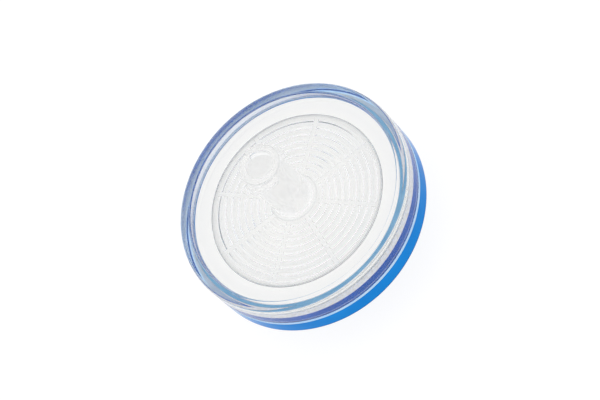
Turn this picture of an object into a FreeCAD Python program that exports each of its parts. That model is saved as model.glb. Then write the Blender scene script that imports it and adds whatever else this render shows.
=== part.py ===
import FreeCAD, Part
import enum
import math
import os

import Sketcher

# Welded syringe filter, in millimetres.
#
# Frame: the Z axis is the flow axis, the inlet is at the top, and the origin is the centre of the end of the
# outlet tip. From the top down, the pieces are the clear inlet housing, the membrane and the outlet housing.

DRIVING = {
    # Outlet: male Luer slip tip on a round boss
    "tip_diameter": 3.97,
    "tip_length": 8.0,
    "tip_chamfer": 0.2,
    "tip_passage": 2.1,
    "luer_taper": 0.06,
    "boss_diameter": 7.0,
    "boss_drop": 0.4,
    "boss_round": 0.4,
    "boss_fillet": 0.8,
    # Rim, where the two housings are welded together
    "housing_diameter": 36.4,
    "outlet_rim_height": 3.15,
    "outlet_rim_width": 2.2,
    "outlet_rim_round": 0.5,
    "inner_rim_round": 0.3,
    "joint_round": 0.3,
    "skirt_height": 4.65,
    "skirt_thickness": 1.05,
    "rim_width": 1.9,
    "rim_rise": 0.95,
    "crown_round": 0.3,
    "crown_inner_round": 0.3,
    "weld_gap": 0.05,
    "tongue_thickness": 0.45,
    "tongue_rise": 0.45,
    # Membrane, and the land that clamps its edge
    "membrane_thickness": 0.15,
    "membrane_clearance": 0.15,
    "land_thickness": 1.3,
    "zone_diameter": 27.3,
    # Plates, and the ribs that hold the membrane flat
    "roof_thickness": 0.85,
    "floor_thickness": 1.8,
    "rib_gap": 0.08,
    "rib_width": 0.5,
    "rib_pitch": 1.08,
    "support_height": 0.4,
    "support_width": 0.7,
    "support_pitch": 2.16,
    "edge_channel": 0.65,
    "well_diameter": 7.4,
    "channel_width": 0.7,
    "channel_count": 8,
    # Inlet: female Luer lock hub
    "hub_diameter": 6.4,
    "hub_height": 11.5,
    "hub_fillet": 0.7,
    "hub_round": 0.2,
    "mouth_diameter": 4.3,
    "mouth_chamfer": 0.15,
    "cone_depth": 8.0,
    "inlet_passage": 2.3,
    "thread_diameter": 7.8,
    "thread_lead": 5.0,
    "thread_turns": 0.3,
    "thread_starts": 2,
    "thread_root": 1.2,
    "thread_crest": 0.6,
    "thread_drop": 0.15,
    "thread_overlap": 0.2,
}


class Anchor(enum.IntEnum):
    """What the sketcher calls the ends of a line and its own axes."""

    START = 1
    END = 2
    HORIZONTAL_AXIS = -1
    VERTICAL_AXIS = -2


START, END = Anchor.START, Anchor.END
ORIGIN_POINT = (Anchor.HORIZONTAL_AXIS, START)

doc = FreeCAD.newDocument("SyringeFilter")
sheet = doc.addObject("Spreadsheet::Sheet", "Sizes")
for row, (alias, value) in enumerate(DRIVING.items(), start=1):
    sheet.set(f"A{row}", alias)
    sheet.set(f"B{row}", str(value))
    sheet.setAlias(f"B{row}", alias)
doc.recompute()


class Size:
    """A length as the formula that a dimension is bound to, together with its present value."""

    def __init__(self, formula, value):
        self.formula = formula
        self.value = value

    def __add__(self, other):
        return Size(f"({self.formula} + {as_size(other).formula})", self.value + as_size(other).value)

    def __sub__(self, other):
        return Size(f"({self.formula} - {as_size(other).formula})", self.value - as_size(other).value)

    def __mul__(self, other):
        return Size(f"({self.formula} * {as_size(other).formula})", self.value * as_size(other).value)

    def __truediv__(self, other):
        return Size(f"({self.formula} / {as_size(other).formula})", self.value / as_size(other).value)


def as_size(number):
    """A plain number as a Size; a Size stays as it is."""
    return number if isinstance(number, Size) else Size(str(number), number)


def size(alias):
    """The Size in one cell of the sheet."""
    return Size(f"Sizes.{alias}", getattr(sheet, alias))


# Levels along the flow axis, from the end of the outlet tip up
TIP_END = as_size(0)
SHOULDER = size("tip_length")
RIM_FOOT = SHOULDER + size("boss_drop")
JOINT = RIM_FOOT + size("outlet_rim_height")
RIM_TOP = JOINT + size("skirt_height")
PLATE_TOP = RIM_TOP - size("rim_rise")
ROOF = PLATE_TOP - size("roof_thickness")
MEMBRANE_TOP = PLATE_TOP - size("land_thickness")
MEMBRANE_FOOT = MEMBRANE_TOP - size("membrane_thickness")
FLOOR = MEMBRANE_FOOT - size("support_height")
UNDERSIDE = FLOOR - size("floor_thickness")
TONGUE_TOP = MEMBRANE_FOOT + size("tongue_rise")
GROOVE_TOP = TONGUE_TOP + size("weld_gap")
MOUTH = PLATE_TOP + size("hub_height")

# Radii of the rim and of the filter zone, from the outside in
HOUSING_RADIUS = size("housing_diameter") / 2
SKIRT_INSIDE = HOUSING_RADIUS - size("skirt_thickness")
TONGUE_OUTSIDE = SKIRT_INSIDE - size("weld_gap")
TONGUE_INSIDE = TONGUE_OUTSIDE - size("tongue_thickness")
GROOVE_INSIDE = TONGUE_INSIDE - size("weld_gap")
RIM_INSIDE = HOUSING_RADIUS - size("rim_width")
MEMBRANE_RADIUS = TONGUE_INSIDE - size("membrane_clearance")
ZONE_RADIUS = size("zone_diameter") / 2
OUTER_RIB_EDGE = ZONE_RADIUS - size("edge_channel")
CHANNEL_END = ZONE_RADIUS - size("edge_channel") / 2
HUB_RADIUS = size("hub_diameter") / 2


def luer_radius(end_diameter, distance):
    """Radius of a Luer cone at a distance from its end of that diameter; minus is towards the narrow side."""
    return end_diameter / 2 + size("luer_taper") / 2 * distance


class Corner:
    """A corner of an outline, sharp or rounded. Both lines of a rounded corner lie along the axes."""

    def __init__(self, x, y, rounding=None):
        self.x = as_size(x)
        self.y = as_size(y)
        self.rounding = rounding

    def towards(self, other):
        """Where the rounding ends on the line to a neighbouring corner."""
        right = other.x.value - self.x.value
        up = other.y.value - self.y.value
        if abs(right) > abs(up):
            return Corner(self.x + self.rounding * int(math.copysign(1, right)), self.y)
        return Corner(self.x, self.y + self.rounding * int(math.copysign(1, up)))

    def vector(self):
        """The corner's place in its sketch."""
        return FreeCAD.Vector(self.x.value, self.y.value, 0)


def origin_feature(body, role):
    """One of the body's own origin planes or axes."""
    return next(feature for feature in body.Origin.OriginFeatures if feature.Role == role)


def bind(sketch, constraint, formula):
    """Add a dimension to the sketch, bound to a formula of the sheet's cells."""
    index = sketch.addConstraint(constraint)
    sketch.setExpression(f"Constraints[{index}]", formula)


def pin_point(sketch, point, corner):
    """Fix one end of a line at a corner, by its distances from the axes of the sketch."""
    if corner.x.value == 0:
        sketch.addConstraint(Sketcher.Constraint("PointOnObject", *point, Anchor.VERTICAL_AXIS))
    else:
        bind(sketch, Sketcher.Constraint("DistanceX", *ORIGIN_POINT, *point, corner.x.value), corner.x.formula)
    if corner.y.value == 0:
        sketch.addConstraint(Sketcher.Constraint("PointOnObject", *point, Anchor.HORIZONTAL_AXIS))
    else:
        bind(sketch, Sketcher.Constraint("DistanceY", *ORIGIN_POINT, *point, corner.y.value), corner.y.formula)


def round_corner(sketch, corner, line_before, line_after, arrival, departure):
    """Draw the quarter circle of a rounded corner between the lines that it joins."""
    centre = arrival.vector() + departure.vector() - corner.vector()
    first = arrival.vector() - centre
    last = departure.vector() - centre
    turns_left = first.cross(last).z > 0
    begin, finish = (first, last) if turns_left else (last, first)
    circle = Part.Circle(centre, FreeCAD.Vector(0, 0, 1), corner.rounding.value)
    quarter = Part.ArcOfCircle(circle, math.atan2(begin.y, begin.x), math.atan2(finish.y, finish.x))
    arc = sketch.addGeometry(quarter)
    arc_first, arc_last = (START, END) if turns_left else (END, START)
    sketch.addConstraint(Sketcher.Constraint("Coincident", arc, arc_first, line_before, END))
    sketch.addConstraint(Sketcher.Constraint("Coincident", arc, arc_last, line_after, START))
    bind(sketch, Sketcher.Constraint("Radius", arc, corner.rounding.value), corner.rounding.formula)


def draw_outline(sketch, corners):
    """Draw one closed outline through the corners and tie every point of it to the sheet."""
    stretches = []
    for before, corner, after in zip(corners[-1:] + corners[:-1], corners, corners[1:] + corners[:1]):
        rounded = corner.rounding is not None
        stretches.append((corner.towards(before), corner.towards(after)) if rounded else (corner, corner))
    lines = []
    for index, (_, departure) in enumerate(stretches):
        arrival = stretches[(index + 1) % len(stretches)][0]
        lines.append(sketch.addGeometry(Part.LineSegment(departure.vector(), arrival.vector())))
    for index, corner in enumerate(corners):
        arrival, departure = stretches[index]
        line_before, line_after = lines[index - 1], lines[index]
        pin_point(sketch, (line_after, START), departure)
        if corner.rounding is None:
            sketch.addConstraint(Sketcher.Constraint("Coincident", line_before, END, line_after, START))
        else:
            pin_point(sketch, (line_before, END), arrival)
            round_corner(sketch, corner, line_before, line_after, arrival, departure)


def add_sketch(body, name, outlines):
    """A sketch of closed outlines on the body's XZ plane, where x is the radius and y the level."""
    sketch = body.newObject("Sketcher::SketchObject", name)
    sketch.AttachmentSupport = [(origin_feature(body, "XZ_Plane"), "")]
    sketch.MapMode = "FlatFace"
    for corners in outlines:
        draw_outline(sketch, corners)
    doc.recompute()
    return sketch


def add_turned(body, name, outlines):
    """Turn closed outlines all the way round the flow axis."""
    sketch = add_sketch(body, f"{name}Section", outlines)
    revolution = body.newObject("PartDesign::Revolution", name)
    revolution.Profile = sketch
    revolution.ReferenceAxis = (sketch, ["V_Axis"])
    revolution.Angle = 360
    doc.recompute()


def add_pattern(body, name, feature, count):
    """Repeat a feature evenly about the flow axis."""
    pattern = body.newObject("PartDesign::PolarPattern", name)
    pattern.Originals = [feature]
    pattern.Axis = (origin_feature(body, "Z_Axis"), [""])
    pattern.Angle = 360
    pattern.setExpression("Occurrences", count.formula)
    body.Tip = pattern
    doc.recompute()


def add_ribs(body, width, pitch, root, crest):
    """Ring ribs from the edge of the filter zone in to the well, crossed by straight radial channels."""
    room = OUTER_RIB_EDGE - width - size("well_diameter") / 2
    rib_count = 1 + math.floor(room.value / pitch.value)
    rings = []
    for index in range(rib_count):
        outer = OUTER_RIB_EDGE - pitch * index
        inner = outer - width
        rings.append([Corner(inner, root), Corner(outer, root), Corner(outer, crest), Corner(inner, crest)])
    add_turned(body, "Ribs", rings)
    uncut_volume = body.Shape.Volume
    slot = [Corner(0, root), Corner(CHANNEL_END, root), Corner(CHANNEL_END, crest), Corner(0, crest)]
    channel = body.newObject("PartDesign::Pocket", "Channel")
    channel.Profile = add_sketch(body, "ChannelSection", [slot])
    channel.SideType = "Symmetric"
    channel.setExpression("Length", size("channel_width").formula)
    doc.recompute()
    require(body.Shape.Volume < uncut_volume, f"{body.Label}: the channel cuts its ribs")
    add_pattern(body, "Channels", channel, size("channel_count"))


def require(condition, statement):
    """Stop unless a statement about the model holds."""
    if not condition:
        raise RuntimeError(f"Not so: {statement}")


def new_body(label):
    """An empty body with the label of its sub-part."""
    body = doc.addObject("PartDesign::Body", label.title().replace("_", ""))
    body.Label = label
    return body


def make_outlet_housing():
    """Lower shell: Luer slip tip, boss, rim, weld tongue, membrane land and support ribs, around one passage."""
    body = new_body("outlet_housing")
    passage = size("tip_passage") / 2
    chamfer = size("tip_chamfer")
    tip_radius = size("tip_diameter") / 2
    section = [
        Corner(passage, TIP_END),
        Corner(tip_radius - chamfer, TIP_END),
        Corner(luer_radius(size("tip_diameter"), chamfer), chamfer),
        Corner(luer_radius(size("tip_diameter"), size("tip_length")), SHOULDER),
        Corner(size("boss_diameter") / 2, SHOULDER, size("boss_round")),
        Corner(size("boss_diameter") / 2, UNDERSIDE, size("boss_fillet")),
        Corner(HOUSING_RADIUS - size("outlet_rim_width"), UNDERSIDE),
        Corner(HOUSING_RADIUS - size("outlet_rim_width"), RIM_FOOT, size("inner_rim_round")),
        Corner(HOUSING_RADIUS, RIM_FOOT, size("outlet_rim_round")),
        Corner(HOUSING_RADIUS, JOINT, size("joint_round")),
        Corner(TONGUE_OUTSIDE, JOINT),
        Corner(TONGUE_OUTSIDE, TONGUE_TOP),
        Corner(TONGUE_INSIDE, TONGUE_TOP),
        Corner(TONGUE_INSIDE, MEMBRANE_FOOT),
        Corner(ZONE_RADIUS, MEMBRANE_FOOT),
        Corner(ZONE_RADIUS, FLOOR),
        Corner(passage, FLOOR),
    ]
    add_turned(body, "Shell", [section])
    add_ribs(body, size("support_width"), size("support_pitch"), FLOOR, MEMBRANE_FOOT)
    return body


def make_membrane():
    """Flat filter disc, clamped at its edge between the two lands."""
    disc = doc.addObject("Part::Cylinder", "Membrane")
    disc.Label = "membrane"
    disc.setExpression("Radius", MEMBRANE_RADIUS.formula)
    disc.setExpression("Height", size("membrane_thickness").formula)
    disc.setExpression("Placement.Base.z", MEMBRANE_FOOT.formula)
    return disc


def add_thread(body):
    """Two-start lugs of the female Luer lock, each a short turn of right-hand thread below the mouth."""
    root, crest, lead = size("thread_root"), size("thread_crest"), size("thread_lead")
    buried = HUB_RADIUS - size("thread_overlap")
    proud = size("thread_diameter") / 2
    middle = MOUTH - size("thread_drop") - root / 2 - lead * size("thread_turns")
    profile = [
        Corner(buried, middle - root / 2),
        Corner(proud, middle - crest / 2),
        Corner(proud, middle + crest / 2),
        Corner(buried, middle + root / 2),
    ]
    sketch = add_sketch(body, "ThreadSection", [profile])
    helix = body.newObject("PartDesign::AdditiveHelix", "ThreadStart")
    helix.Profile = sketch
    helix.ReferenceAxis = (sketch, ["V_Axis"])
    helix.Mode = "pitch-height-angle"
    helix.setExpression("Pitch", lead.formula)
    helix.setExpression("Height", (lead * size("thread_turns")).formula)
    doc.recompute()
    add_pattern(body, "Thread", helix, size("thread_starts"))


def make_inlet_housing():
    """Clear upper shell: threaded Luer hub, plate with ribs beneath, clamping land, weld groove and skirt."""
    body = new_body("inlet_housing")
    passage = size("inlet_passage") / 2
    mouth_radius = size("mouth_diameter") / 2
    chamfer = size("mouth_chamfer")
    cone_foot = MOUTH - size("cone_depth")
    section = [
        Corner(mouth_radius + chamfer, MOUTH),
        Corner(mouth_radius, MOUTH - chamfer),
        Corner(luer_radius(size("mouth_diameter"), chamfer - size("cone_depth")), cone_foot),
        Corner(passage, cone_foot),
        Corner(passage, ROOF),
        Corner(ZONE_RADIUS, ROOF),
        Corner(ZONE_RADIUS, MEMBRANE_TOP),
        Corner(GROOVE_INSIDE, MEMBRANE_TOP),
        Corner(GROOVE_INSIDE, GROOVE_TOP),
        Corner(SKIRT_INSIDE, GROOVE_TOP),
        Corner(SKIRT_INSIDE, JOINT),
        Corner(HOUSING_RADIUS, JOINT, size("joint_round")),
        Corner(HOUSING_RADIUS, RIM_TOP, size("crown_round")),
        Corner(RIM_INSIDE, RIM_TOP, size("crown_inner_round")),
        Corner(RIM_INSIDE, PLATE_TOP),
        Corner(HUB_RADIUS, PLATE_TOP, size("hub_fillet")),
        Corner(HUB_RADIUS, MOUTH, size("hub_round")),
    ]
    add_turned(body, "Shell", [section])
    add_ribs(body, size("rib_width"), size("rib_pitch"), ROOF, MEMBRANE_TOP + size("rib_gap"))
    add_thread(body)
    return body


sub_parts = [make_outlet_housing(), make_membrane(), make_inlet_housing()]
doc.recompute()

for item in doc.Objects:
    require(not {"Invalid", "Error"} & set(item.State), f"{item.Label} is computed")
for sub_part in sub_parts:
    require(not sub_part.Shape.isNull() and sub_part.Shape.isValid(), f"{sub_part.Label} is a valid shape")
    require(len(sub_part.Shape.Solids) == 1, f"{sub_part.Label} is one solid")

os.makedirs("parts", exist_ok=True)
for sub_part in sub_parts:
    sub_part.Shape.exportStep(f"parts/{sub_part.Label}.step")
    print(f"{sub_part.Label}: {sub_part.Shape.Volume:.1f} mm3")
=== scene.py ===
"""Looks of a welded syringe filter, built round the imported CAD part.

The filter is three pieces: a clear inlet housing with a Luer lock hub, a white membrane, and a blue outlet
housing with a Luer slip tip. Each is a turned surface: its rows follow the section, and its columns run
round the flow axis. Ribs, channels and the lock thread are raised out of that grid. Sizes are millimetres
until a mesh is written.
"""

import logging
import math
from dataclasses import dataclass
from enum import IntEnum

import bpy
import numpy as np
from mathutils import Matrix, Vector


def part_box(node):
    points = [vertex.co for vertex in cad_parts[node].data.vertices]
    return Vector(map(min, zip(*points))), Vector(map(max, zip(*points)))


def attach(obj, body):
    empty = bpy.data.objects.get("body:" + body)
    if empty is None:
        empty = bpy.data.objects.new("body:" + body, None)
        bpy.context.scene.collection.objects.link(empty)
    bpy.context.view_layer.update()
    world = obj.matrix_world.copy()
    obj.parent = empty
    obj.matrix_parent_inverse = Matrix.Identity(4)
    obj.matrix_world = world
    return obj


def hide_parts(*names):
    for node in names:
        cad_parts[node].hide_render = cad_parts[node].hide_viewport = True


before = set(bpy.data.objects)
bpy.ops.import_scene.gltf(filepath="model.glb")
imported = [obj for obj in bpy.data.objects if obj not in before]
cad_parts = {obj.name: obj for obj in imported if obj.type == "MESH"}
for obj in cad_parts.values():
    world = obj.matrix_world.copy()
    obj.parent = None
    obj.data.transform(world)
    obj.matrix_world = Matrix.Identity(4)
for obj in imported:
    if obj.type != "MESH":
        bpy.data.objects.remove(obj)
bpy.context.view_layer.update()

MM = 0.001
# How near two sizes lie, in millimetres, to count as one place.
TOUCH = 0.01
# Share of a normal along the axis from which a face counts as level, and along the radius as upright.
SQUARE = 0.999
log = logging.getLogger("syringe_filter")


# ---- Colour and shader nodes ----


def linear(colour: str) -> tuple[float, float, float, float]:
    """Turn an sRGB hex colour to linear RGBA.

    Args:
        colour: Six hex digits after a hash sign.

    Returns:
        Linear red, green and blue, and an alpha of 1.
    """
    channels = [int(colour[start:start + 2], 16) / 255 for start in (1, 3, 5)]
    red, green, blue = (c / 12.92 if c <= 0.04045 else ((c + 0.055) / 1.055) ** 2.4 for c in channels)
    return red, green, blue, 1.0


def add_node(
    tree: bpy.types.NodeTree, kind: str, values: dict[str | int, object],
    links: dict[str | int, bpy.types.NodeSocket], **settings: object,
) -> bpy.types.Node:
    """Add one node to a tree, with its settings, its socket values and its incoming links.

    Args:
        tree: The node tree that gets the node.
        kind: The node's type name.
        values: Value of each unlinked input, by the input's name or number.
        links: Output that feeds each linked input, by the input's name or number.
        settings: The node's own properties.

    Returns:
        The new node.
    """
    node = tree.nodes.new(kind)
    for name, setting in settings.items():
        setattr(node, name, setting)
    for name, value in values.items():
        node.inputs[name].default_value = value
    for name, source in links.items():
        tree.links.new(source, node.inputs[name])
    return node


def new_material(name: str) -> tuple[bpy.types.Material, bpy.types.NodeTree]:
    """Make a material with nothing in its node tree.

    Args:
        name: The material's name.

    Returns:
        The material and its tree.
    """
    material = bpy.data.materials.new(name)
    material.use_nodes = True
    material.node_tree.nodes.clear()
    return material, material.node_tree


def show(tree: bpy.types.NodeTree, shader: bpy.types.Node) -> None:
    """Join a shader's first output to the material's surface."""
    add_node(tree, "ShaderNodeOutputMaterial", {}, {"Surface": shader.outputs[0]})


# ---- Finishes ----


def relief(
    tree: bpy.types.NodeTree, size: float, depth: float, detail: float = 1.0, fineness: float = 0.4,
) -> bpy.types.NodeSocket:
    """Make the normal of a face that is uneven in a soft, random way.

    Args:
        tree: The material's tree.
        size: Distance from one swelling to the next, in millimetres.
        depth: Height of the swellings, in millimetres.
        detail: Number of finer layers on top of the first.
        fineness: How much each finer layer adds, as a share of the one before.

    Returns:
        The normal.
    """
    where = add_node(tree, "ShaderNodeTexCoord", {}, {})
    noise = add_node(
        tree, "ShaderNodeTexNoise", {"Scale": 1 / (size * MM), "Detail": detail, "Roughness": fineness},
        {"Vector": where.outputs["Object"]},
    )
    bump = add_node(
        tree, "ShaderNodeBump", {"Strength": 1.0, "Distance": depth * MM}, {"Height": noise.outputs[0]},
    )
    return bump.outputs[0]


def drifting(
    tree: bpy.types.NodeTree, first: str, second: str, size: float, spread: float = 0.15,
    detail: float = 2.0,
) -> bpy.types.NodeSocket:
    """Let a colour drift softly between two tones.

    The way from one tone to the other is the noise's range from 0.5 − spread to 0.5 + spread. The mixing
    node's colours are its sockets 6 and 7, and its colour leaves by output 2.

    Args:
        tree: The material's tree.
        first: One tone.
        second: The other tone.
        size: Distance from one patch to the next, in millimetres.
        spread: Half the range of the noise over which the tones change.
        detail: Number of finer layers on top of the first.

    Returns:
        The colour.
    """
    where = add_node(tree, "ShaderNodeTexCoord", {}, {})
    noise = add_node(
        tree, "ShaderNodeTexNoise", {"Scale": 1 / (size * MM), "Detail": detail},
        {"Vector": where.outputs["Object"]},
    )
    share = add_node(
        tree, "ShaderNodeMapRange", {"From Min": 0.5 - spread, "From Max": 0.5 + spread},
        {"Value": noise.outputs[0]},
    )
    mix = add_node(
        tree, "ShaderNodeMix", {6: linear(first), 7: linear(second)}, {0: share.outputs[0]},
        data_type="RGBA",
    )
    return mix.outputs[2]


class Finish:
    """What a face looks like: a shader of its own, built into a material."""

    def shader(self, tree: bpy.types.NodeTree) -> bpy.types.Node:
        """Add the shader to a tree, as each finish does in its own way."""
        raise NotImplementedError

    def build(self, name: str) -> bpy.types.Material:
        """Make the material.

        Args:
            name: The material's name.

        Returns:
            The material.
        """
        material, tree = new_material(name)
        show(tree, self.shader(tree))
        return material


@dataclass(frozen=True)
class ClearAcrylic(Finish):
    """Clear acrylic (PMMA), injection moulded in a polished tool: glassy, with a faint waviness of flow.

    Attributes:
        colour: How much light one crossing lets through. A ray crosses many faces, so that near white is
            already a tint.
        roughness: Blur of the face.
        ior: Index of refraction.
        wave_length: Distance from one flow wave to the next, in millimetres.
        wave_height: Height of the flow waves, in millimetres.
    """

    colour: str = "#fefefe"
    roughness: float = 0.02
    ior: float = 1.49
    wave_length: float = 2.5
    wave_height: float = 0.0008

    def shader(self, tree: bpy.types.NodeTree) -> bpy.types.Node:
        """Add the shader to a tree.

        Args:
            tree: The material's tree.

        Returns:
            The shader.
        """
        return add_node(
            tree, "ShaderNodeBsdfPrincipled",
            {"Base Color": linear(self.colour), "Roughness": self.roughness, "IOR": self.ior,
             "Transmission Weight": 1.0},
            {"Normal": relief(tree, self.wave_length, self.wave_height)},
        )


@dataclass(frozen=True)
class FusedAcrylic(Finish):
    """Acrylic that the weld made one with the other shell: no face is left, so light goes straight on."""

    def shader(self, tree: bpy.types.NodeTree) -> bpy.types.Node:
        """Add a shader that lets all light straight through."""
        return add_node(tree, "ShaderNodeBsdfPrincipled", {"Alpha": 0.0}, {})


@dataclass(frozen=True)
class WeldFlash(Finish):
    """Acrylic melted by the ultrasonic weld and squeezed up the groove: frosted white, with cream specks.

    Attributes:
        colour: Colour of the frosted melt.
        speck: Colour of the specks, where it is less full of air.
        speck_size: Distance from one speck to the next, in millimetres.
        roughness: Blur of the face.
        ior: Index of refraction.
    """

    colour: str = "#ffffff"
    speck: str = "#efeae0"
    speck_size: float = 0.4
    roughness: float = 0.5
    ior: float = 1.49

    def shader(self, tree: bpy.types.NodeTree) -> bpy.types.Node:
        """Add the shader to a tree.

        Args:
            tree: The material's tree.

        Returns:
            The shader.
        """
        return add_node(
            tree, "ShaderNodeBsdfPrincipled", {"Roughness": self.roughness, "IOR": self.ior},
            {"Base Color": drifting(tree, self.speck, self.colour, self.speck_size)},
        )


@dataclass(frozen=True)
class BlueAcrylic(Finish):
    """Acrylic tinted blue through its whole mass and moulded: smooth, with a body colour and little gloss.

    Attributes:
        colour: Body colour.
        drift: Colour that it drifts to where the melt flowed less evenly.
        drift_size: Distance from one patch of colour to the next, in millimetres.
        roughness: Blur of the face.
        ior: Index of refraction.
        sheen: Specular level of the face.
        wave_length: Distance from one flow wave to the next, in millimetres.
        wave_height: Height of the flow waves, in millimetres.
    """

    colour: str = "#0a8ee8"
    drift: str = "#0686e0"
    drift_size: float = 5.0
    roughness: float = 0.06
    ior: float = 1.49
    sheen: float = 0.04
    wave_length: float = 2.5
    wave_height: float = 0.0008

    def shader(self, tree: bpy.types.NodeTree) -> bpy.types.Node:
        """Add the shader to a tree.

        Args:
            tree: The material's tree.

        Returns:
            The shader.
        """
        return add_node(
            tree, "ShaderNodeBsdfPrincipled",
            {"Roughness": self.roughness, "IOR": self.ior, "Specular IOR Level": self.sheen},
            {"Base Color": drifting(tree, self.colour, self.drift, self.drift_size),
             "Normal": relief(tree, self.wave_length, self.wave_height)},
        )


@dataclass(frozen=True)
class FilterMembrane(Finish):
    """Cast polymer filter membrane: dead matt white, with a felt of pores.

    Real pores are under 0.001 mm. They are drawn at 0.12 mm, as coarse as they need to show.

    Attributes:
        colour: Colour of the felt.
        roughness: Blur of the face.
        sheen: Specular level of the face.
        pore_size: Distance from one pore to the next, in millimetres.
        pore_depth: Depth of the pores, in millimetres.
    """

    colour: str = "#fafaf9"
    roughness: float = 0.95
    sheen: float = 0.1
    pore_size: float = 0.12
    pore_depth: float = 0.004

    def shader(self, tree: bpy.types.NodeTree) -> bpy.types.Node:
        """Add the shader to a tree.

        Args:
            tree: The material's tree.

        Returns:
            The shader.
        """
        return add_node(
            tree, "ShaderNodeBsdfPrincipled",
            {"Base Color": linear(self.colour), "Roughness": self.roughness,
             "Specular IOR Level": self.sheen},
            {"Normal": relief(tree, self.pore_size, self.pore_depth, detail=3.0)},
        )


# ---- Turned surfaces ----


@dataclass(frozen=True)
class Corner:
    """A corner of an outline. Its run to the next corner may carry extra rows.

    Attributes:
        radius: Distance from the flow axis.
        level: Height along the flow axis.
        rounding: Radius of the arc that takes the corner's place.
        rows: Fractions of the run to the next corner, from corner to corner, where extra rows lie.
    """

    radius: float
    level: float
    rounding: float = 0.05
    rows: np.ndarray | None = None


@dataclass
class Grid:
    """Places and normals of a surface, one entry for each row and column, in cylinder coordinates.

    Attributes:
        radius: Distance from the flow axis.
        angle: Angle about the flow axis.
        level: Height along the flow axis.
        normal: Outward normal as its parts along the radius, the angle and the axis.
    """

    radius: np.ndarray
    angle: np.ndarray
    level: np.ndarray
    normal: np.ndarray

    def flatten(self) -> tuple[np.ndarray, np.ndarray]:
        """Put the grid into plain coordinates, row after row.

        A point at radius r and angle a lies at (r cos a, r sin a, level), and a normal turns with it.

        Returns:
            Points in metres, and outward normals.
        """
        cosine, sine = np.cos(self.angle), np.sin(self.angle)
        points = np.stack((self.radius * cosine, self.radius * sine, self.level), axis=-1) * MM
        along, about, up = np.moveaxis(self.normal, -1, 0)
        normals = np.stack((along * cosine - about * sine, along * sine + about * cosine, up), axis=-1)
        return points.reshape(-1, 3), normals.reshape(-1, 3)


def trace(corners: list[Corner], arc_step: float = math.radians(11)) -> tuple[np.ndarray, np.ndarray]:
    """Follow a closed outline, taken counter-clockwise with the radius to the right and the level up.

    Each corner becomes an arc: its centre lies on the line that halves the corner, at rounding / sin(half
    the corner's angle), and the arc meets both runs at rounding / tan(half the angle) from the corner.

    Args:
        corners: The outline's corners in order.
        arc_step: Largest turn between two rows on an arc, in radians.

    Returns:
        Points and outward normals, each with one row for each row of the surface and two columns.
    """
    points, normals = [], []
    places = np.array([(corner.radius, corner.level) for corner in corners])
    for index, corner in enumerate(corners):
        here = places[index]
        back = places[index - 1] - here
        ahead = places[(index + 1) % len(corners)] - here
        run = ahead.copy()
        back /= np.linalg.norm(back)
        ahead /= np.linalg.norm(ahead)
        half = math.acos(float(np.clip(back @ ahead, -1, 1))) / 2
        reach = corner.rounding / math.tan(half)
        middle = here + (back + ahead) / np.linalg.norm(back + ahead) * corner.rounding / math.sin(half)
        first = (here + back * reach - middle) / corner.rounding
        last = (here + ahead * reach - middle) / corner.rounding
        turn = math.pi - 2 * half
        steps = max(2, math.ceil(turn / arc_step))
        share = np.linspace(0, 1, steps + 1)[:, None]
        spokes = (first * np.sin((1 - share) * turn) + last * np.sin(share * turn)) / math.sin(turn)
        side = 1.0 if first @ np.array((-back[1], back[0])) > 0 else -1.0
        points.append(middle + spokes * corner.rounding)
        normals.append(spokes * side)
        if corner.rows is not None:
            extra = corner.rows[:, None]
            points.append(here + run * extra)
            normals.append(np.repeat([(ahead[1], -ahead[0])], len(extra), axis=0))
    return np.vstack(points), np.vstack(normals)


def smooth(share: np.ndarray) -> tuple[np.ndarray, np.ndarray]:
    """Ease from 0 to 1 with level ends: 3 u² − 2 u³, where u is the share held between 0 and 1.

    Args:
        share: Where each point lies between the start and the end of the step.

    Returns:
        The eased value and its slope against the share.
    """
    held = np.clip(share, 0, 1)
    return held * held * (3 - 2 * held), 6 * held * (1 - held)


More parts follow.
